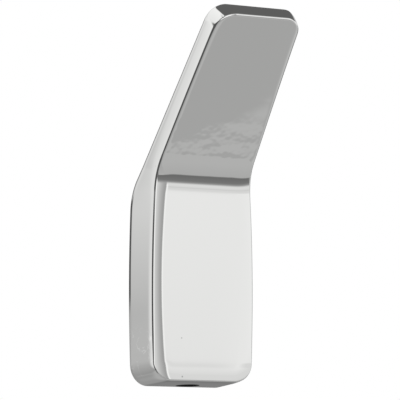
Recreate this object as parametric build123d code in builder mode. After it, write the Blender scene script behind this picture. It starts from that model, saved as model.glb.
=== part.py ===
from build123d import *
import math
import os

os.makedirs("parts", exist_ok=True)

# Wall hook, in millimetres. +X is to the right as seen from the room, +Y goes into the wall and +Z is up.
# The origin lies on the wall plane, midway between the two wall screw holes.

# Body, the part that stands against the wall
body_depth = 12.8  # wall plane to the front face
fold_height = 52.4  # bottom edge up to the fold line of the front
bottom_rise = 0.7  # how much higher the underside ends at the front than at the wall
bottom_width = 26.7
widest_width = 27.9
widest_height = 24.0
fold_width = 26.1

# Arm, the part that leans forward
arm_lean = 41.7  # degrees away from the wall
arm_length = 46.4  # fold line to the end, along the front
arm_root_thickness = 6.2
arm_end_thickness = 4.7
arm_end_width = 22.7

# Bends, draft and edges
fold_radius = 13.5
back_bend_radius = 10.6
side_draft = 0.9  # how much further out each side stands at the back than at the front
face_crown = 0.25  # how far the middle of the front swells past its edges
bottom_corner_radius = 4.7
arm_corner_radius = 4.3
front_edge_radius = 0.5
rear_edge_radius = 0.3
grinding_allowance = 0.05  # taken off the back, so that it is flat on the wall

# Wall bracket and the pocket that hides it
bracket_width = 18.0
bracket_height = 34.0
bracket_thickness = 6.0
bracket_bevel = 45.0  # degrees, how far both ends slant back towards the middle at the wall
bracket_corner_radius = 1.0
bracket_clearance = 0.3  # to the pocket's sides and to its slanted upper end
head_room = 2.0  # free depth in front of the bracket, for the heads of the wall screws
lift_room = 0.4  # spare height when the body is lifted over the bracket
pocket_floor = 4.6  # metal left under the pocket, which holds the grub screw's thread
pocket_corner_radius = 1.5
wall_hole_spacing = 14.0
wall_hole_diameter = 4.5
wall_head_diameter = 8.6
wall_head_angle = 90.0

# Grub screw in the underside
screw_diameter = 5.0
screw_depth = 4.0  # wall plane to the screw's axis
screw_recess = 1.8  # how far its end sits inside the underside
screw_point_radius = 0.8
screw_clearance = 0.05  # radial, between thread crest and bore
point_clearance = 0.2  # between the screw's point and the bracket's lower end
socket_across_flats = 2.5
socket_depth = 2.8
mouth_width = 0.45  # width of the countersink round the bore's opening
mouth_angle = 90.0

# Heights that follow from the bracket, which is centred on the origin
bevel_slope = math.tan(math.radians(bracket_bevel))
bracket_top = bracket_height / 2
bevel_height = bracket_thickness * bevel_slope
pocket_foot = -bracket_top - bevel_height - lift_room
pocket_depth = bracket_thickness + head_room
bottom = pocket_foot - pocket_floor
pocket_top = bracket_top + bracket_clearance / math.cos(math.radians(bracket_bevel))

# The profile is two paths in the YZ plane, one up the front and one up the back.
lean = math.radians(arm_lean)
front_foot = (-body_depth, bottom + bottom_rise)
fold = (-body_depth, bottom + fold_height)
arm_end_front = (
    fold[0] - arm_length * math.sin(lean),
    fold[1] + arm_length * math.cos(lean),
)
arm_end_back = (
    arm_end_front[0] + arm_end_thickness * math.cos(lean),
    arm_end_front[1] + arm_end_thickness * math.sin(lean),
)
arm_root_back = (
    fold[0] + arm_root_thickness * math.cos(lean),
    fold[1] + arm_root_thickness * math.sin(lean),
)

# The back of the arm runs on in a straight line as far as the wall.
back_foot = (grinding_allowance, bottom)
back_rise = (arm_end_back[1] - arm_root_back[1]) / (arm_end_back[0] - arm_root_back[0])
back_bend = (
    grinding_allowance,
    arm_root_back[1] + back_rise * (grinding_allowance - arm_root_back[0]),
)

with BuildLine(Plane.YZ) as front_path:
    FilletPolyline(front_foot, fold, arm_end_front, radius=fold_radius)

with BuildLine(Plane.YZ) as back_path:
    FilletPolyline(back_foot, back_bend, arm_end_back, radius=back_bend_radius)

front_line = front_path.wire()
back_line = back_path.wire()
section_count = 44
corner_alignment = 0.95  # cosine, tells the edges through the depth from those along it
tiny = 0.01


def front_half_width(height_along):
    """Half the width of the front, at a distance up the front from the bottom edge."""
    if height_along > fold_height:
        share = (height_along - fold_height) / arm_length
        return (fold_width + share * (arm_end_width - fold_width)) / 2
    # One parabola through the three widths of the body
    lower_slope = (widest_width - bottom_width) / widest_height
    upper_slope = (fold_width - widest_width) / (fold_height - widest_height)
    bend = (upper_slope - lower_slope) / fold_height
    straight = bottom_width + lower_slope * height_along
    return (straight + bend * height_along * (height_along - widest_height)) / 2


def section_plane(share):
    """The plane of a cross-section, from the front path to the back path, and its depth."""
    across = (back_line @ share) - (front_line @ share)
    up_the_hook = Vector(1, 0, 0).cross(across)
    return Plane(origin=front_line @ share, x_dir=(1, 0, 0), z_dir=up_the_hook), across.length


def end_direction(share):
    """A point on one end of the hook's front, and the direction through its depth."""
    across = (back_line @ share) - (front_line @ share)
    return front_line @ share, across.normalized()


# The casting is lofted through sections that are spaced evenly along both paths.
with BuildPart() as hook_body:
    for number in range(section_count + 1):
        share = number / section_count
        plane, depth = section_plane(share)
        half = front_half_width(bottom_rise + share * front_line.length)
        back_half = half + side_draft
        with BuildSketch(plane):
            with BuildLine():
                ThreePointArc((-half, face_crown), (0, 0), (half, face_crown))
                Polyline(
                    (half, face_crown),
                    (back_half, depth),
                    (-back_half, depth),
                    (-half, face_crown),
                )
            make_face()
    loft()

    # The corners of both ends are rounded through the whole depth.
    for share, corner_radius in ((1, arm_corner_radius), (0, bottom_corner_radius)):
        end_point, through = end_direction(share)
        corners = hook_body.edges().filter_by(
            lambda edge: abs(edge.tangent_at(0.5).dot(through)) > corner_alignment
        )
        fillet(corners.sort_by_distance(end_point)[:2], corner_radius)

    # Polishing has left a small radius all round the front, and a smaller one round the back.
    front_face = hook_body.faces().sort_by(SortBy.AREA)[-2:].sort_by(Axis.Y)[0]
    fillet(front_face.edges(), front_edge_radius)
    back_face = hook_body.faces().sort_by(SortBy.AREA)[-2:].sort_by(Axis.Y)[-1]
    fillet(back_face.edges(), rear_edge_radius)

    # The back of the body is ground flat on the wall plane.
    split(bisect_by=Plane.XZ)

    # The pocket hides the bracket. Its upper end slants as a lip that hangs on the bracket.
    with BuildSketch(Plane.YZ):
        Polygon(
            (0, pocket_foot),
            (-pocket_depth, pocket_foot),
            (-pocket_depth, pocket_top),
            (-bracket_thickness, pocket_top),
            (0, pocket_top - bevel_height),
            align=None,
        )
    extrude(amount=bracket_width / 2 + bracket_clearance, both=True, mode=Mode.SUBTRACT)
    pocket_corners = hook_body.edges().filter_by(Axis.Y).filter_by_position(
        Axis.Z, pocket_foot - tiny, pocket_foot + tiny
    )
    fillet(pocket_corners, pocket_corner_radius)

    # The grub screw's bore opens in the underside and ends in the pocket.
    underside = bottom + bottom_rise * screw_depth / body_depth
    bore_radius = screw_diameter / 2 + screw_clearance
    with Locations(Plane(origin=(0, -screw_depth, underside), z_dir=(0, 0, -1))):
        CounterSinkHole(
            radius=bore_radius,
            counter_sink_radius=bore_radius + mouth_width,
            depth=pocket_foot - underside + tiny,
            counter_sink_angle=mouth_angle,
        )

# Bracket, a plate whose ends slant so that the body hooks over the upper one
with BuildPart() as wall_bracket:
    with BuildSketch(Plane.YZ):
        Polygon(
            (0, -bracket_top + bevel_height),
            (-bracket_thickness, -bracket_top),
            (-bracket_thickness, bracket_top),
            (0, bracket_top - bevel_height),
            align=None,
        )
    extrude(amount=bracket_width / 2, both=True)
    with BuildSketch(Plane.XZ) as bracket_outline:
        RectangleRounded(bracket_width, bracket_height, bracket_corner_radius)
    extrude(amount=bracket_thickness, mode=Mode.INTERSECT)
    with Locations(Plane.XZ.offset(bracket_thickness)):
        with GridLocations(0, wall_hole_spacing, 1, 2):
            CounterSinkHole(
                radius=wall_hole_diameter / 2,
                counter_sink_radius=wall_head_diameter / 2,
                counter_sink_angle=wall_head_angle,
            )

# Grub screw, with a conical point that bears on the bracket's lower end and wedges the body to the wall
bearing_height = -bracket_top + (bracket_thickness - screw_depth) * bevel_slope
screw_tip = bearing_height - screw_point_radius - point_clearance
screw_end = underside + screw_recess
point_length = screw_diameter / 2 - screw_point_radius

with BuildPart() as grub_screw:
    with BuildSketch(Plane.YZ):
        Polygon(
            (-screw_depth, screw_end),
            (-screw_depth - screw_diameter / 2, screw_end),
            (-screw_depth - screw_diameter / 2, screw_tip - point_length),
            (-screw_depth - screw_point_radius, screw_tip),
            (-screw_depth, screw_tip),
            align=None,
        )
    revolve(axis=Axis((0, -screw_depth, 0), (0, 0, 1)))
    with BuildSketch(Plane(origin=(0, -screw_depth, screw_end), x_dir=(1, 0, 0), z_dir=(0, 0, 1))):
        RegularPolygon(radius=socket_across_flats / 2, side_count=6, major_radius=False)
    extrude(amount=socket_depth, mode=Mode.SUBTRACT)

hook_body.part.label = "hook_body"
wall_bracket.part.label = "wall_bracket"
grub_screw.part.label = "grub_screw"

for piece in (hook_body, wall_bracket, grub_screw):
    export_step(piece.part, f"parts/{piece.part.label}.step")
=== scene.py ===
# %% [markdown]
# A wall hook in mirror chrome. The construction model gives the true sizes, so this script only adds
# the finish, the studio and the camera.

# %% Load the frame
import math

import bmesh
import bpy
from mathutils import Matrix, Vector


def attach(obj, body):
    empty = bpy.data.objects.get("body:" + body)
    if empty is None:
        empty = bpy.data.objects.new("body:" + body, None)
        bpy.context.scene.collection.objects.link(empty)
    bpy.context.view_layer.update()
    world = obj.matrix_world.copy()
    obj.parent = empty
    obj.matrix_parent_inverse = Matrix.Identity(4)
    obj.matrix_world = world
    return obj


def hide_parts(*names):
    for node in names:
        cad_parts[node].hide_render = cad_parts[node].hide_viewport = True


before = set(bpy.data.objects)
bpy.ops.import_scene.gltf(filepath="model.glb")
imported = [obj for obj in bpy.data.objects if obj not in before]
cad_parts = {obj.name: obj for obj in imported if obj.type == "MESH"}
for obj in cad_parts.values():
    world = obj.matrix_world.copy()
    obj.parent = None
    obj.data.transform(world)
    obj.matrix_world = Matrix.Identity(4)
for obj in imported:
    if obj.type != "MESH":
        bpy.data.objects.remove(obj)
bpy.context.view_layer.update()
mm = 0.001
print("construction pieces:", ", ".join(sorted(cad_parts)))
scene = bpy.context.scene
scene.view_settings.view_transform = "Standard"

# %% [markdown]
# The camera stands to the left of the hook and a little below its foot, far away behind a long lens, so
# that the underside just shows and the hook's upright lines hardly lean together.

# %% The camera
camera_place = Vector((-309.6, -621.5, -61.4)) * mm
camera_heading = math.radians(-26.88)
camera_pitch = math.radians(6.62)
lens_mm = 249.2
camera_data = bpy.data.cameras.new("camera")
camera_data.lens = lens_mm
camera_data.sensor_width = 36.0
camera_data.clip_start = 0.05
camera_data.clip_end = 20.0
camera = bpy.data.objects.new("camera", camera_data)
camera.location = camera_place
camera.rotation_euler = (math.radians(90) + camera_pitch, 0.0, camera_heading)
scene.collection.objects.link(camera)
scene.camera = camera
print("camera distance in mm:", round(camera_place.length / mm))

# %% [markdown]
# The hook is one casting, ground and polished by hand, so its faces swell a little towards the middle
# and roll over softly at the sides. A mirror finish shows every ripple of a mesh, and a rounded edge
# that is bevelled into big flat faces shades them unevenly. So the casting starts as a blank, a box of
# even rows and columns, and each of its points is then moved to its place on the real form.
#
# Its side view is two lines, one up the front and one up the back. Each runs straight up the body,
# turns round an arc at the fold, and runs straight up the arm.

# %% Sizes of the casting, in mm
body_depth = 12.8
fold_height = 52.4
bottom_rise = 0.7
bottom_width, widest_width, widest_height, fold_width = 26.7, 27.9, 24.0, 26.1
arm_lean = math.radians(41.7)
arm_length = 46.34
arm_root_thickness, arm_end_thickness = 6.2, 4.7
arm_end_width = 22.7
fold_radius, back_bend_radius = 13.5, 10.6
bottom_corner, arm_corner = 4.7, 4.3
bottom = -27.998
quarter = math.radians(90)

# %% The two lines of the profile
def bent_line(start, corner, end, radius):
    """A line that runs straight, turns round an arc and runs straight on, as a point for each share."""
    start, corner, end = Vector(start), Vector(corner), Vector(end)
    first, second = (corner - start).normalized(), (end - corner).normalized()
    turn = first.angle(second)
    cut = radius * math.tan(turn / 2)
    arc_start = corner - first * cut
    side = (second - first * first.dot(second)).normalized()
    lengths = ((arc_start - start).length, radius * turn, (end - corner).length - cut)
    total = sum(lengths)

    def at(share):
        travelled = share * total
        if travelled < lengths[0]:
            return start + first * travelled
        travelled -= lengths[0]
        if travelled < lengths[1]:
            angle = travelled / radius
            return arc_start + first * radius * math.sin(angle) + side * radius * (1 - math.cos(angle))
        return corner + second * (cut + travelled - lengths[1])

    return at, total


fold_point = Vector((-body_depth, bottom + fold_height))
along_arm = Vector((-math.sin(arm_lean), math.cos(arm_lean)))
into_arm = Vector((math.cos(arm_lean), math.sin(arm_lean)))
arm_tip = fold_point + along_arm * arm_length
arm_back_tip = arm_tip + into_arm * arm_end_thickness
arm_back_root = fold_point + into_arm * arm_root_thickness
back_run = (arm_back_tip - arm_back_root).normalized()
back_bend = arm_back_root - back_run * (arm_back_root.x / back_run.x)
front_at, front_length = bent_line((-body_depth, bottom + bottom_rise), fold_point, arm_tip, fold_radius)
back_at, back_length = bent_line((0.0, bottom), back_bend, arm_back_tip, back_bend_radius)
print("profile lines in mm:", round(front_length, 2), round(back_length, 2))

# %% [markdown]
# Seen from the front, the body swells to its widest below the middle, and the arm narrows in straight
# lines.

# %% The width along the front
def half_width(height):
    """Half the width of the front, at a distance up the front."""
    if height > fold_height:
        share = (height - fold_height) / arm_length
        return (fold_width + share * (arm_end_width - fold_width)) / 2
    lower_slope = (widest_width - bottom_width) / widest_height
    upper_slope = (fold_width - widest_width) / (fold_height - widest_height)
    bend = (upper_slope - lower_slope) / fold_height
    return (bottom_width + lower_slope * height + bend * height * (height - widest_height)) / 2


print("half widths in mm:", [round(half_width(height), 2) for height in (0, 24, 52, 98)])

# %% [markdown]
# Rows run across the hook, rings round it. The rows lie closer in the rounded corners of both ends. The
# rings go from the front face over its edge, back along the sides, and over the rear edge. Where a
# curved stretch meets a flat one, close rings keep the shading of the curve out of the flat face.

# %% Rows and rings of the blank
corner_rows = 12
row_pitch = 0.4
column_count = 44
edge_rings, rear_rings = 16, 5
wall_shares = (0.01, 0.06, 0.12, 0.18, 0.25, 0.33, 0.42, 0.52)
wall_shares += (0.62, 0.72, 0.8, 0.86, 0.91, 0.95, 0.98, 0.995)


def make_rows():
    """Each row is (distance up the front, corner radius, how far round the corner, which stretch)."""
    angles = [quarter * number / corner_rows for number in range(corner_rows)]
    rows = [(0.0, bottom_corner, angle, "foot") for angle in angles]
    plain = front_length - bottom_corner - arm_corner
    count = round(plain / row_pitch)
    rows += [(bottom_corner + plain * number / count, 0.0, quarter, "plain") for number in range(count + 1)]
    return rows + [(front_length, arm_corner, angle, "tip") for angle in reversed(angles)]


rows = make_rows()
rings = [("front", number / edge_rings) for number in range(edge_rings + 1)]
rings += [("wall", share) for share in wall_shares]
rings += [("rear", number / rear_rings) for number in range(rear_rings + 1)]
print("rows", len(rows), "rings", len(rings))

# %% [markdown]
# The buffing wheel rounds more than the edge itself: each face rolls over softly on its last
# millimetres. The front does so at both sides, which shows as a narrow upright reflection, the sides do
# so at their front and their back, and the underside at its front. One function gives all these rolls:
# how far the face has sunk, and its slope there.
#
# The belt has left two more traces on the arm. It has hollowed the arm a little above the fold, so that
# the reflection changes along a slanting line there. And it has turned the last stretch of the front by
# a hair, and pulled in its left corner.

# %% Sizes of the soft rolls, in mm, with slopes as mm per mm
front_roll = (3.7, 0.19)
side_roll = (3.6, 0.12)
back_roll = (2.6, math.tan(math.radians(27)))
foot_roll = (5.6, 0.036)
under_roll = (5.0, 0.11)
roll_growth = 0.36
arm_roll_width, arm_roll_start, arm_roll_change = 1.5, 2.0, 7.0
crown = 0.05
side_draft = 0.78
corner_follow = 0.25
front_edge, foot_edge, rear_edge = 0.5, 0.3, 0.3
edge_growth = 6.0
hollow_slope, hollow_start, hollow_height = 0.022, 3.0, 12.4
hollow_tilt, hollow_bow, hollow_blend = 0.45, 2.0, 0.3
tip_pull, pull_length = 0.6, 8.0
tip_twist, twist_length = 0.010, 24.0
print("radius of the front edge:", front_edge, "and of the rear edge:", rear_edge)

# %% Soft rolls
def roll(distance, width, slope):
    """How far a face has sunk, and its slope, at a distance from the side that it rolls over to."""
    left = min(1.0, max(0.0, 1 - distance / width))
    return slope * width / 3 * left**3, slope * left**2


def front_roll_at(height):
    """The roll of the front is a little wider towards both ends of the body, and narrow on the arm."""
    from_middle = (height - fold_height / 2) / (fold_height / 2)
    width = front_roll[0] * (1 + roll_growth * min(1.0, from_middle**2))
    on_arm = min(1.0, max(0.0, (height - fold_height + arm_roll_start) / arm_roll_change))
    return width + (arm_roll_width - width) * on_arm, front_roll[1]


def edge_at(height):
    """The radius of the front edge, which is crisper at the foot."""
    share = min(1.0, max(0.0, (height - bottom_corner) / edge_growth))
    return foot_edge + (front_edge - foot_edge) * share


def soft_least(first, second, blend):
    """The smaller of two numbers, with a soft change from one to the other."""
    return min(first, second) - max(0.0, blend - abs(first - second)) ** 2 / (4 * blend)


def hollow(height, x):
    """How far the belt has hollowed the arm, from just above the fold up to its end."""
    up = height - fold_height
    deepest = hollow_height + hollow_tilt * x
    rising = (up - hollow_start) / (deepest - hollow_start)
    from_tip = (arm_length - up) / (arm_length - deepest)
    falling = from_tip * (1 + hollow_bow * (1 - from_tip))
    return hollow_slope * (deepest - hollow_start) * max(0.0, soft_least(rising, falling, hollow_blend))


def near_tip(height, stretch):
    """Rises from 0 to 1 over the last stretch of the arm."""
    return max(0.0, 1 - (front_length - height) / stretch)


print("the front sinks at its sides by", round(roll(0, *front_roll)[0] + crown, 3), "mm")

# %% [markdown]
# The place of a point on the hook follows from its column, row and ring. The column says how far it
# lies from the middle towards a side, the row how far up the hook, and the ring how deep.

# %% Where each point goes
def place(column, row, ring):
    """Where a point of the blank goes on the hook, in mm."""
    spread = (3 * column - column**3) / 2
    along, radius, angle, where = rows[row]
    face, share = rings[ring]
    corner_sine = math.sin(angle)
    rounding = radius * (1 - corner_sine) if where != "plain" else 0.0
    edge = edge_at(along)
    width_and_slope = front_roll_at(along)
    edge_slope = math.atan(roll(edge, *width_and_slope)[1] * corner_sine)
    rear_slope = math.atan(back_roll[1] * corner_sine)
    inset = tilt = 0.0
    if face == "front":
        tilt = edge_slope + (quarter - edge_slope) * share
        inset = edge * (1 - math.sin(tilt))
    elif face == "rear":
        tilt = rear_slope + (quarter - rear_slope) * share
        inset = rear_edge * (math.cos(rear_slope) - math.cos(tilt))
    if where == "foot":
        height = radius - (radius - inset) * math.cos(angle)
    elif where == "tip":
        height = along - radius + (radius - inset) * math.cos(angle)
    else:
        height = along
    front, back = front_at(height / front_length), back_at(height / front_length)
    thickness = (back - front).length
    middle_width = half_width(height + bottom_rise)
    reach = middle_width - (rounding + inset * corner_sine if where != "plain" else inset)
    distance = middle_width - corner_follow * rounding - abs(spread) * reach
    across = spread * reach
    sunk = roll(distance, *width_and_slope)[0] + crown * (across / middle_width) ** 2
    sunk += roll(height, *foot_roll)[0] + hollow(height, across)
    sunk += tip_twist * across * near_tip(height, twist_length)
    if face == "front":
        depth = sunk + edge * (math.cos(edge_slope) - math.cos(tilt))
    elif face == "rear":
        depth = thickness - rear_edge * (1 - math.sin(tilt))
    else:
        rim_depth = sunk + edge * math.cos(edge_slope)
        depth = rim_depth + (thickness - rear_edge - rim_depth) * share
    rolled_in = roll(thickness - depth, *back_roll)[0] * corner_sine
    swollen = (roll(0, *side_roll)[0] - roll(depth - edge, *side_roll)[0]) * corner_sine
    pulled_in = 0.0
    if spread < 0:
        pulled_in = tip_pull * near_tip(height, pull_length) ** 2 * (1 - depth / thickness)
    x = spread * (reach + side_draft * depth / thickness + swollen - rolled_in - pulled_in)
    point = front + (back - front) * (depth / thickness)
    if where == "foot":
        point.y += roll(depth - edge, *under_roll)[0] * math.cos(angle)
    return Vector((x, point.x, point.y))


print("middle of the front's foot:", [round(value, 2) for value in place(0.0, 0, 0)])

# %% [markdown]
# The blank is a grid that is extruded once for each ring. An extrusion needs the edges of its region as
# well as the faces, or the old faces stay behind inside the block as hidden layers.

# %% The casting
def new_piece(name, bm, *finishes):
    """Turns finished mesh work into a piece of the hook."""
    mesh = bpy.data.meshes.new(name)
    bm.to_mesh(mesh)
    bm.free()
    piece = bpy.data.objects.new(name, mesh)
    scene.collection.objects.link(piece)
    for finish in finishes:
        mesh.materials.append(finish)
    return piece


casting = bmesh.new()
bmesh.ops.create_grid(casting, x_segments=column_count, y_segments=len(rows) - 1, size=1.0)
half_rows = (len(rows) - 1) / 2
bmesh.ops.transform(casting, matrix=Matrix.Diagonal((1, half_rows, 1, 1)), verts=casting.verts)
bmesh.ops.translate(casting, vec=(0, half_rows, 0), verts=casting.verts)
layer = list(casting.faces)
for number in range(len(rings) - 1):
    layer_edges = dict.fromkeys(edge for face in layer for edge in face.edges)
    made = bmesh.ops.extrude_face_region(casting, geom=layer + list(layer_edges))["geom"]
    layer = [part for part in made if isinstance(part, bmesh.types.BMFace)]
    points = [part for part in made if isinstance(part, bmesh.types.BMVert)]
    bmesh.ops.translate(casting, vec=(0, 0, 1), verts=points)
for vertex in casting.verts:
    vertex.co = place(vertex.co.x, round(vertex.co.y), round(vertex.co.z)) * mm
bmesh.ops.recalc_face_normals(casting, faces=casting.faces)
open_edges = sum(not edge.is_manifold for edge in casting.edges)
print("casting:", len(casting.faces), "faces,", open_edges, "open edges")

# %% [markdown]
# A recess in the back hides the wall bracket. Its upper end slants as a lip that hangs on the bracket,
# and a bore leads into it from the underside. Both are cut by solids that stand a little proud of the
# casting, so that no face of a cutter lies in a face of the hook.

# %% Sizes of the recess and the bore, in mm
bracket_width, bracket_height, bracket_thickness = 18.0, 34.0, 6.0
bracket_clearance, head_room, lift_room = 0.3, 2.0, 0.4
recess_corner = 1.5
screw_diameter, screw_depth = 5.0, 4.0
screw_clearance, mouth_width = 0.05, 0.45
proud, hair = 2.0, 0.01
recess_half = bracket_width / 2 + bracket_clearance
recess_foot = -bracket_height / 2 - bracket_thickness - lift_room
recess_top = bracket_height / 2 + bracket_clearance * math.sqrt(2)
recess_depth = bracket_thickness + head_room
underside = bottom + bottom_rise * screw_depth / body_depth
bore_radius = screw_diameter / 2 + screw_clearance
print("recess from", round(recess_foot, 2), "to", round(recess_top, 2), "and", recess_depth, "deep")

# %% Cutters
def recess_cutter():
    """The recess, drawn from the side and extruded across the hook."""
    bm = bmesh.new()
    outline = (
        (proud, recess_foot),
        (-recess_depth, recess_foot),
        (-recess_depth, recess_top),
        (-bracket_thickness, recess_top),
        (proud, recess_top - bracket_thickness - proud),
    )
    corners = [bm.verts.new(Vector((-recess_half, y, z)) * mm) for y, z in outline]
    side = bm.faces.new(corners)
    made = bmesh.ops.extrude_face_region(bm, geom=[side])["geom"]
    points = [part for part in made if isinstance(part, bmesh.types.BMVert)]
    bmesh.ops.translate(bm, vec=(2 * recess_half * mm, 0, 0), verts=points)
    at_foot = (recess_foot + hair) * mm
    through = [
        edge
        for edge in bm.edges
        if all(point.co.z < at_foot for point in edge.verts)
        and abs(edge.verts[0].co.y - edge.verts[1].co.y) > recess_depth * mm
    ]
    bmesh.ops.bevel(
        bm, geom=through, offset=recess_corner * mm, affect="EDGES", segments=8, profile=0.5, material=-1
    )
    bmesh.ops.recalc_face_normals(bm, faces=bm.faces)
    return new_piece("recess_cutter", bm)


def round_cutter(name, low, high, low_radius, high_radius):
    """A turned cutter on the axis of the grub screw."""
    bm = bmesh.new()
    bmesh.ops.create_cone(
        bm,
        cap_ends=True,
        segments=96,
        radius1=low_radius * mm,
        radius2=high_radius * mm,
        depth=(high - low) * mm,
    )
    bmesh.ops.translate(bm, vec=Vector((0, -screw_depth, (low + high) / 2)) * mm, verts=bm.verts)
    bmesh.ops.recalc_face_normals(bm, faces=bm.faces)
    return new_piece(name, bm)


# %% [markdown]
# A Boolean modifier takes the cutters out of the casting. Its result is then kept as the mesh, the
# cutters are deleted, and edges that turn by more than 30 degrees are marked sharp, so that the cut
# stays crisp while the polished form stays smooth.

# %% Cut the casting
hook = new_piece("chrome_hook", casting)
below = underside - proud
bore_cutter = round_cutter("bore_cutter", below, recess_foot + proud, bore_radius, bore_radius)
wide_radius = bore_radius + mouth_width + proud
mouth_cutter = round_cutter("mouth_cutter", below, underside + mouth_width, wide_radius, bore_radius)
cutters = [recess_cutter(), bore_cutter, mouth_cutter]
for cutter in cutters:
    cut = hook.modifiers.new(cutter.name, "BOOLEAN")
    cut.operation = "DIFFERENCE"
    cut.solver = "EXACT"
    cut.object = cutter
bpy.context.view_layer.update()
finished = bmesh.new()
finished.from_object(hook, bpy.context.evaluated_depsgraph_get())
hook.modifiers.clear()
for cutter in cutters:
    bpy.data.objects.remove(cutter)
print("faces after the cuts:", len(finished.faces))

# %% Merge and shade
sharp_turn = math.radians(30)
merge_distance = 0.0005 * mm
bmesh.ops.remove_doubles(finished, verts=finished.verts, dist=merge_distance)
bmesh.ops.dissolve_degenerate(finished, edges=finished.edges, dist=merge_distance)
for face in finished.faces:
    face.smooth = True
for edge in finished.edges:
    edge.smooth = edge.is_manifold and edge.calc_face_angle(0.0) < sharp_turn
print("sharp edges:", sum(not edge.smooth for edge in finished.edges))

# %% [markdown]
# The plating shines only where the wheel has reached. The recess keeps its cast skin, and the bore its
# bare thread, coloured nearly black as painted shade for the inside of the hole, so each face gets the
# number of its finish, from where it lies and which way it points.

# %% Finish of each face
# The finish of the bore's thread is coloured nearly black as painted shade for the inside of the hole.
polished, cast_skin, bare_thread = 0, 1, 2
back_skin = 0.05
turned_back, turned_down = 0.5, -0.9


def finish_of(face):
    """The number of the finish that a face of the hook gets."""
    x, y, z = face.calc_center_median() / mm
    from_screw_axis = math.hypot(x, y + screw_depth)
    if z < recess_foot and from_screw_axis < bore_radius + mouth_width and face.normal.z > turned_down:
        return bare_thread
    within_outline = abs(x) < recess_half + hair and recess_foot - hair < z < recess_top + hair
    within_depth = -recess_depth - hair < y < -back_skin
    on_outer_back = face.normal.y > turned_back and y > -bracket_thickness
    return cast_skin if within_outline and within_depth and not on_outer_back else polished


for face in finished.faces:
    face.material_index = finish_of(face)
finished.to_mesh(hook.data)
open_edges = sum(not edge.is_manifold for edge in finished.edges)
print("chrome hook:", len(finished.faces), "faces,", open_edges, "open edges")
print("volume in mm3:", round(finished.calc_volume() / mm**3))
finished.free()
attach(hook, "root")
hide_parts("hook_body")

# %% [markdown]
# Materials are node trees. Small helpers add a node with its settings and inputs, do a sum, and blend
# greys or colours. Every pattern reads Object coordinates, so it stays on the metal whatever the view.

# %% Node helpers
def new_material(name):
    """A material with an empty node tree."""
    material = bpy.data.materials.new(name)
    material.use_nodes = True
    material.node_tree.nodes.clear()
    return material


def add_node(tree, kind, inputs=(), **settings):
    """A node whose inputs are links, where they are given sockets, or plain values."""
    node = tree.nodes.new(kind)
    for key, value in settings.items():
        setattr(node, key, value)
    for socket, value in dict(inputs).items():
        if isinstance(value, bpy.types.NodeSocket):
            tree.links.new(value, node.inputs[socket])
        else:
            node.inputs[socket].default_value = value
    return node


def maths(tree, operation, first, second=0.0, third=0.0):
    """One sum of a node tree."""
    return add_node(tree, "ShaderNodeMath", {0: first, 1: second, 2: third}, operation=operation).outputs[0]


def share_of(tree, value, start, end):
    """Rises softly from 0 at the start to 1 at the end."""
    inputs = {"Value": value, "From Min": start, "From Max": end}
    return add_node(tree, "ShaderNodeMapRange", inputs, interpolation_type="SMOOTHSTEP").outputs[0]


def blend_greys(tree, share, under, over):
    """Goes from one grey to another by a share."""
    return add_node(tree, "ShaderNodeMix", {0: share, 2: under, 3: over}, data_type="FLOAT").outputs[0]


def blend_colours(tree, share, under, over):
    """Goes from one colour to another by a share."""
    return add_node(tree, "ShaderNodeMix", {0: share, 6: under, 7: over}, data_type="RGBA").outputs[2]


# %% [markdown]
# Bright chrome over ground and buffed metal. Its colour is the light grey of chromium, and nearly all
# that is seen of it is the room. What tells it from a perfect mirror is small: cloudy waves that the
# belt has left low on the arm's front, scuffs and a few pale scratches at the foot of the left side,
# two specks and a pit, and faint upright marks in the polish. They could be painted as one picture, but
# then they would have one fixed sharpness. As noise in the material they stay crisp from near by.

# %% Sizes of the traces in the chrome
chrome_grey = (0.801, 0.803, 0.792, 1.0)
scratched_grey = (0.96, 0.96, 0.95, 1.0)
speck_black = (0.02, 0.02, 0.02, 1.0)
chrome_roughness, roughness_change = 0.03, 0.012
mark_size, mark_stretch, haze_size = 0.35 * mm, (1, 1, 0.04), 9.0 * mm
ripple_size, ripple_height, ripple_stretch = 7.0 * mm, 0.0035 * mm, (1, 1, 0.5)
wave_size, wave_height, wave_stretch = 4.0 * mm, 0.06 * mm, (0.8, 1, 0.6)
wave_zone = (22.0 * mm, 27.0 * mm, 33.0 * mm, 40.0 * mm)
wave_depths = (2.5 * mm, 1.0 * mm)
scuff_size, scuff_height, scuff_stretch = 2.6 * mm, 0.02 * mm, (1, 0.8, 1.2)
scuff_top, scuff_bottom = -11.0 * mm, -19.0 * mm
scuff_inner, scuff_outer = -12.8 * mm, -13.6 * mm
scratch_width = 0.045
patch_size, patch_shares = 3.4 * mm, (0.50, 0.60)
speck_core = 0.4
specks = {
    "speck low on the front": ((-5.9, -12.8, -26.1), 0.30, 0.55),
    "speck on the front": ((-6.1, -12.8, -16.6), 0.26, 0.62),
    "pit beside the fold": ((-13.0, -12.6, 25.6), 0.34, 0.1),
}
print("specks and pits:", len(specks))

# %% Noise
def noise(tree, at, size, detail=2.0, stretch=(1, 1, 1)):
    """Cloudy noise of a feature size in metres. A stretch below 1 draws it out along that axis."""
    mapped = add_node(tree, "ShaderNodeMapping", {"Vector": at, "Scale": stretch}).outputs[0]
    inputs = {"Vector": mapped, "Scale": 1 / size, "Detail": detail}
    return add_node(tree, "ShaderNodeTexNoise", inputs).outputs[0]


def centred_noise(tree, at, size, detail, stretch):
    """Noise about zero. Noise about a half would tilt the surface where it fades out."""
    return maths(tree, "SUBTRACT", noise(tree, at, size, detail, stretch), 0.5)


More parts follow.
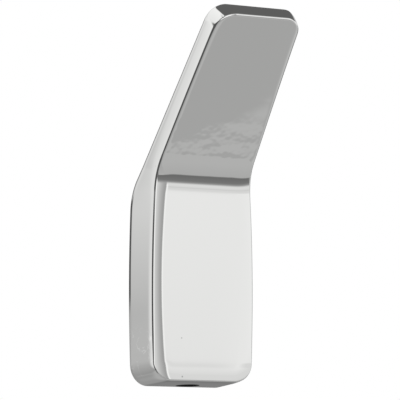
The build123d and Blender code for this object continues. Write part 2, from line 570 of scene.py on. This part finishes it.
# %% Belt waves
def belt_waves(tree, at, place_y, place_z):
    """Waves low on the arm. They fade out up and down the arm, and towards its back."""
    waves = centred_noise(tree, at, wave_size, 2.0, wave_stretch)
    waves = maths(tree, "MULTIPLY", waves, wave_height)
    from_below = share_of(tree, place_z, wave_zone[0], wave_zone[1])
    from_above = share_of(tree, place_z, wave_zone[3], wave_zone[2])
    arm_face = fold_point.dot(into_arm) * mm
    across_arm = maths(tree, "MULTIPLY", place_y, math.cos(arm_lean))
    across_arm = maths(tree, "MULTIPLY_ADD", place_z, math.sin(arm_lean), across_arm)
    near_front = share_of(tree, across_arm, arm_face + wave_depths[0], arm_face + wave_depths[1])
    zone = maths(tree, "MULTIPLY", from_below, from_above)
    return maths(tree, "MULTIPLY", waves, maths(tree, "MULTIPLY", zone, near_front))


# %% Scuffs and scratches
def foot_scuffs(tree, at, place_x, place_z):
    """The height of the scuffs at the foot of the left side, and the share of pale scratches there."""
    zone = maths(
        tree,
        "MULTIPLY",
        share_of(tree, place_z, scuff_top, scuff_bottom),
        share_of(tree, place_x, scuff_inner, scuff_outer),
    )
    scuffs = centred_noise(tree, at, scuff_size, 1.0, scuff_stretch)
    from_scratch = maths(tree, "ABSOLUTE", scuffs)
    scratches = maths(tree, "MULTIPLY", share_of(tree, from_scratch, scratch_width, 0.0), zone)
    patches = share_of(tree, noise(tree, at, patch_size, 1.0), *patch_shares)
    heights = maths(tree, "MULTIPLY", maths(tree, "MULTIPLY", scuffs, scuff_height), zone)
    return heights, maths(tree, "MULTIPLY", scratches, patches)


# %% Specks
def clear_of_specks(tree, at):
    """Is 1 on clean metal and lower in the specks."""
    clean = 1.0
    for speck_place, radius, left_over in specks.values():
        inputs = {0: at, 1: Vector(speck_place) * mm}
        away = add_node(tree, "ShaderNodeVectorMath", inputs, operation="DISTANCE").outputs["Value"]
        outside = share_of(tree, away, speck_core * radius * mm, radius * mm)
        clean = maths(tree, "MULTIPLY", clean, blend_greys(tree, outside, left_over, 1.0))
    return clean


# %% Chrome
def make_chrome():
    """Mirror chrome with the traces of its making and its use."""
    material = new_material("mirror_chrome")
    tree = material.node_tree
    at = add_node(tree, "ShaderNodeTexCoord").outputs["Object"]
    place_x, place_y, place_z = add_node(tree, "ShaderNodeSeparateXYZ", {0: at}).outputs
    marks = noise(tree, at, mark_size, 3.0, mark_stretch)
    haze = noise(tree, at, haze_size, 4.0)
    roughness = maths(tree, "MULTIPLY_ADD", marks, roughness_change, chrome_roughness - roughness_change)
    roughness = maths(tree, "MULTIPLY_ADD", haze, roughness_change, roughness)
    ripple = maths(tree, "MULTIPLY", noise(tree, at, ripple_size, 1.0, ripple_stretch), ripple_height)
    scuffs, scratches = foot_scuffs(tree, at, place_x, place_z)
    surface = maths(tree, "ADD", ripple, belt_waves(tree, at, place_y, place_z))
    surface = maths(tree, "ADD", surface, scuffs)
    bump = add_node(tree, "ShaderNodeBump", {"Height": surface, "Distance": 1.0, "Strength": 1.0})
    metal = blend_colours(tree, scratches, chrome_grey, scratched_grey)
    colour = blend_colours(tree, clear_of_specks(tree, at), speck_black, metal)
    inputs = {"Base Color": colour, "Metallic": 1.0, "Roughness": roughness, "Normal": bump.outputs[0]}
    shader = add_node(tree, "ShaderNodeBsdfPrincipled", inputs)
    add_node(tree, "ShaderNodeOutputMaterial", {"Surface": shader.outputs[0]})
    return material


hook.data.materials.append(make_chrome())
print("chrome nodes:", len(hook.data.materials[0].node_tree.nodes))

# %% [markdown]
# The other metals are plain: the skin of the casting inside the recess, the bare thread of the bore,
# the bracket, a plate that nobody sees, sawn from flat bar and dull, and the blackened grub screw. The
# thread of the bore is coloured nearly black, which is painted shade for the inside of the hole. They
# differ only in their greys, their roughness and their grain, so one function makes all four. The
# bracket and the screw keep the meshes of the construction model.

# %% Steel
patch_scale, groove_depth, grain_roughness = 5.0 * mm, 0.01 * mm, 0.2


def make_steel(name, dark, light, roughness, grain, stretch):
    """Steel with brushed grain."""
    material = new_material(name)
    tree = material.node_tree
    at = add_node(tree, "ShaderNodeTexCoord").outputs["Object"]
    grain_marks = noise(tree, at, grain, 4.0, stretch)
    patches = noise(tree, at, patch_scale, 3.0)
    shade = blend_colours(tree, patches, (*dark, 1), (*light, 1))
    least_rough = roughness - grain_roughness / 2
    rough = maths(tree, "MULTIPLY_ADD", grain_marks, grain_roughness, least_rough)
    grooves = maths(tree, "MULTIPLY", grain_marks, groove_depth)
    bump = add_node(tree, "ShaderNodeBump", {"Height": grooves, "Distance": 1.0, "Strength": 1.0})
    inputs = {"Base Color": shade, "Metallic": 1.0, "Roughness": rough, "Normal": bump.outputs[0]}
    shader = add_node(tree, "ShaderNodeBsdfPrincipled", inputs)
    add_node(tree, "ShaderNodeOutputMaterial", {"Surface": shader.outputs[0]})
    return material


# %% The four steels
steel_finishes = {
    "cast_skin": ((0.4, 0.4, 0.4), (0.52, 0.52, 0.52), 0.42, 0.5 * mm, (1, 1, 1)),
    # The bore's thread gets near-black greys: painted shade for the inside of the hole.
    "bare_thread": ((0.012, 0.012, 0.012), (0.03, 0.03, 0.03), 0.6, 0.3 * mm, (1, 1, 1)),
    "brushed_steel": ((0.42, 0.42, 0.43), (0.55, 0.55, 0.56), 0.4, 0.3 * mm, (0.05, 1, 1)),
    "blackened_steel": ((0.03, 0.03, 0.032), (0.07, 0.07, 0.072), 0.45, 0.2 * mm, (1, 1, 0.3)),
}
steels = {name: make_steel(name, *finish) for name, finish in steel_finishes.items()}


def refinish(node_name, material):
    """Gives a construction piece its finish in all its material slots."""
    piece = bpy.data.objects[node_name]
    if not piece.material_slots:
        piece.data.materials.append(material)
    for slot in piece.material_slots:
        slot.material = material


hook.data.materials.append(steels["cast_skin"])
# The bore's finish is the near-black steel, painted shade for the inside of the hole.
hook.data.materials.append(steels["bare_thread"])
refinish("wall_bracket", steels["brushed_steel"])
refinish("grub_screw", steels["blackened_steel"])
print("finishes of the hook:", [slot.material.name for slot in hook.material_slots])

# %% [markdown]
# Chrome is photographed in a tent: a closed room of white cloth and grey and black cards, because a
# mirror shows whatever stands round it. Here the tent is a dome far larger than the hook, so that a
# card looks the same from every point of it. The cards are painted on the dome by azimuth, which is 0
# in front of the hook and grows to its right, and by elevation. Only reflections see the dome.

# %% Painting cards on the dome
tent_radius = 20.0
tent_cloth = 0.58
tent = new_material("tent")
tent_tree = tent.node_tree
dome_place = add_node(tent_tree, "ShaderNodeTexCoord").outputs["Object"]
outward = add_node(tent_tree, "ShaderNodeVectorMath", {0: dome_place}, operation="NORMALIZE")
parts = add_node(tent_tree, "ShaderNodeSeparateXYZ", {0: outward.outputs[0]})
toward_front = maths(tent_tree, "MULTIPLY", parts.outputs[1], -1.0)
azimuth = maths(tent_tree, "DEGREES", maths(tent_tree, "ARCTAN2", parts.outputs[0], toward_front))
elevation = maths(tent_tree, "DEGREES", maths(tent_tree, "ARCSINE", parts.outputs[2]))


def lay_card(under, greys, azimuths, elevations, soft=(1.0, 1.0), fades_up=False, lean=0.0):
    """Lays a card over what is painted so far. Its two greys fade across it or up it, and it may lean."""
    middle = sum(azimuths) / 2
    turned = maths(tent_tree, "WRAP", maths(tent_tree, "SUBTRACT", azimuth, middle), 180.0, -180.0)
    raised = maths(tent_tree, "SUBTRACT", elevation, sum(elevations) / 2)
    if lean:
        raised = maths(tent_tree, "MULTIPLY_ADD", turned, -lean, raised)
    inside = 1.0
    for offset, ends, edge in ((turned, azimuths, soft[0]), (raised, elevations, soft[1])):
        half = (ends[1] - ends[0]) / 2
        covered = share_of(tent_tree, maths(tent_tree, "ABSOLUTE", offset), half + edge, half - edge)
        inside = maths(tent_tree, "MULTIPLY", inside, covered)
    offset, ends = (raised, elevations) if fades_up else (turned, azimuths)
    half = (ends[1] - ends[0]) / 2
    inputs = {"Value": offset, "From Min": -half, "From Max": half, "To Min": greys[0], "To Max": greys[1]}
    grey = add_node(tent_tree, "ShaderNodeMapRange", inputs).outputs[0]
    return blend_greys(tent_tree, inside, under, grey)


# %% [markdown]
# Each card is there for one reflection. Flat faces show a small patch of the tent, a rounded edge
# sweeps over nearly all of it. So the softboxes and the grey strip in front make the bright body and
# the strip beside it, the sheets on the floor make the grey arm, the dark band between them is the
# shadow of the fold, and the flags and the black cards draw the thin dark lines along the edges. A card
# that is laid later covers what lies under it. Each row gives two greys, the azimuths, the elevations,
# how soft the sides and the ends are, whether the greys fade upwards, and how far the card leans.

# %% Cards of the tent
cards = {
    "floor sheet": ((0.40, 0.50), (-180, 180), (-90, -28), (1, 4), True),
    "floor sheet before the arm": ((0.45, 0.45), (20, 125), (-90, -40), (3, 3), False),
    "floor sheet near the fold": ((0.535, 0.535), (20, 66), (-71.5, -28), (2, 1.0), False, 0.8),
    "floor sheet at the fold": ((0.535, 0.49), (20, 66), (-50, -26), (2, 1), True),
    "back of the room": ((0.42, 0.42), (145, 210), (-28, 4.0), (8, 0.6), False),
    "sheet behind, up": ((0.6, 0.7), (140, 215), (9.3, 22), (8, 0.6), True),
    "rim card behind": ((0.20, 0.20), (148, 192), (9.3, 19), (4, 1), False),
    "sheet to the back left": ((0.36, 0.50), (-160, -118), (-30, -3), (2, 3), True),
    "side sheet, low": ((0.50, 0.58), (-160, -118), (-3, 3), (2, 1.5), True),
    "side sheet, high": ((0.56, 0.86), (-160, -118), (3.5, 11), (2, 1.5), True),
    "side sheet, top": ((0.86, 1.0), (-160, -118), (11, 24), (2, 2), True),
    "white side card": ((0.82, 1.06), (-142, -116), (-25, 30), (3, 6), False),
    "white side card, upper": ((0.96, 1.04), (-142, -112), (10.5, 30), (3, 1.5), False),
    "black card behind": ((0.10, 0.10), (153, 205), (4.0, 9.3), (3, 0.6), False),
    "dark band": ((0.17, 0.25), (-45, 52), (-27, -8), (6, 1.2), True),
    "dark band, pale edge": ((0.22, 0.52), (-45, 52), (-16, -8), (6, 1), True),
    "left flag": ((0.10, 0.10), (-115, -48), (-52, 12), (5, 4), False),
    "white card above the left flag": ((0.95, 1.05), (-120, -46), (14, 27), (4, 3), True),
    "line card": ((1.1, 1.1), (-46, 4), (-12, 40), (1.5, 4), False),
    "grey strip, bright end": ((0.86, 0.74), (2, 12), (-10, 40), (1, 3), False),
    "grey strip": ((0.72, 0.37), (11, 22.5), (-10, 40), (1.5, 3), False),
    "softbox, foot": ((0.90, 0.81), (22.4, 62), (-11, -3), (0.5, 2.5), True),
    "softbox, lower part": ((0.81, 0.84), (22.4, 62), (-3, 1.5), (0.5, 1), True),
    "softbox": ((0.84, 0.95), (22.4, 62), (0.8, 2.8), (0.5, 0.5), True),
    "softbox, upper part": ((0.945, 1.0), (22.4, 62), (2.8, 8), (0.5, 0.5), True),
    "softbox, top": ((1.0, 1.05), (22.4, 62), (8, 45), (0.5, 0.5), True),
    "softbox, right part": ((0.98, 1.04), (28.0, 62), (2.2, 45), (0.8, 0.6), False),
    "rim of the softbox": ((1.08, 1.08), (22.4, 23.6), (-8, 45), (0.5, 2), False),
    "right card": ((0.62, 0.62), (68, 104), (-54, -34), (5, 4), False),
    "right wall": ((0.92, 0.80), (64, 124), (-14, 48), (4, 4), False),
    "right flag": ((0.15, 0.25), (102, 162), (-38, 8), (6, 3), False),
    "under sheet": ((0.36, 0.30), (118, 200), (-34, -4), (10, 4), True),
    "under sheet, front": ((0.18, 0.24), (128, 158), (-28, -5), (4, 3), True),
    "left ceiling": ((1.0, 1.1), (-158, -48), (24, 63), (5, 4), True),
    "small black card, high": ((0.03, 0.03), (-80, -42), (22, 56), (4, 4), False),
    "ceiling flag": ((0.134, 0.134), (84, 140), (24, 70), (6, 3), False),
    "zenith": ((0.134, 0.134), (-180, 181), (62.5, 91), (1, 1.0), False),
    "sheet behind, high": ((0.80, 0.55), (138, 215), (20, 74), (5, 3), True),
}
painted = tent_cloth
for name, card in cards.items():
    painted = lay_card(painted, *card)
glow = add_node(tent_tree, "ShaderNodeEmission", {"Color": painted, "Strength": 1.0})
add_node(tent_tree, "ShaderNodeOutputMaterial", {"Surface": glow.outputs[0]})
print("cards in the tent:", len(cards))

# %% [markdown]
# The dome is hidden from everything but reflections, so it neither lights the hook nor shows behind it.

# %% The dome
def hide_from(piece, *kinds):
    """Hides a stage piece from some kinds of ray."""
    for kind in kinds:
        setattr(piece, f"visible_{kind}", False)


dome = bmesh.new()
bmesh.ops.create_uvsphere(dome, u_segments=64, v_segments=32, radius=tent_radius)
dome_piece = new_piece("tent", dome, tent)
tent.cycles.emission_sampling = "NONE"
hide_from(dome_piece, "camera", "diffuse", "transmission", "volume_scatter", "shadow")
print("faces of the dome:", len(dome_piece.data.polygons))

# %% [markdown]
# The floor lies well below the hook, pale and matt. The camera looks up from below the hook's foot, so
# it never shows behind the hook, but it does in views from above.

# %% Floor
floor_height, floor_size = -0.5, 8.0
floor_dark, floor_light = (0.92, 0.92, 0.92, 1.0), (0.94, 0.94, 0.94, 1.0)
speckle_size = 0.05
floor_material = new_material("floor")
tree = floor_material.node_tree
at = add_node(tree, "ShaderNodeTexCoord").outputs["Object"]
speckle = noise(tree, at, speckle_size, 3.0)
floor_colour = blend_colours(tree, speckle, floor_dark, floor_light)
shader = add_node(tree, "ShaderNodeBsdfPrincipled", {"Base Color": floor_colour, "Roughness": 0.9})
add_node(tree, "ShaderNodeOutputMaterial", {"Surface": shader.outputs[0]})
floor_mesh = bmesh.new()
bmesh.ops.create_grid(floor_mesh, x_segments=1, y_segments=1, size=floor_size / 2)
bmesh.ops.translate(floor_mesh, vec=(0, 0, floor_height), verts=floor_mesh.verts)
floor = new_piece("floor", floor_mesh, floor_material)
hide_from(floor, "glossy")
print("floor in m:", floor_size, "wide, at", floor_height)

# %% [markdown]
# One wide soft lamp hangs over the floor, and the world fills the shadows evenly. What is neither floor
# nor object is plain white, to the eye and in reflections alike.

# %% Lamp
lamp_place = Vector((-0.5, -0.7, 1.6))
lamp_spread, lamp_strength = math.radians(35), 1.0
lamp_data = bpy.data.lights.new("soft_lamp", "SUN")
lamp_data.angle = lamp_spread
lamp_data.energy = lamp_strength
lamp = bpy.data.objects.new("soft_lamp", lamp_data)
lamp.location = lamp_place
lamp.rotation_euler = (-lamp_place).to_track_quat("-Z", "Y").to_euler()
scene.collection.objects.link(lamp)
hide_from(lamp, "glossy", "camera")
print("lamp strength:", lamp_strength)

# %% Background
fill_level, white_level = 0.76, 1.0
world = bpy.data.worlds.new("studio")
scene.world = world
world.use_nodes = True
tree = world.node_tree
tree.nodes.clear()
path = add_node(tree, "ShaderNodeLightPath")
seen = maths(tree, "ADD", path.outputs["Is Camera Ray"], path.outputs["Is Glossy Ray"])
seen = maths(tree, "MINIMUM", maths(tree, "ADD", seen, path.outputs["Is Transmission Ray"]), 1.0)
level = blend_greys(tree, seen, fill_level, white_level)
background = add_node(tree, "ShaderNodeBackground", {"Color": (1, 1, 1, 1), "Strength": level})
add_node(tree, "ShaderNodeOutputWorld", {"Surface": background.outputs[0]})
print("world: fill", fill_level, "and background", white_level)
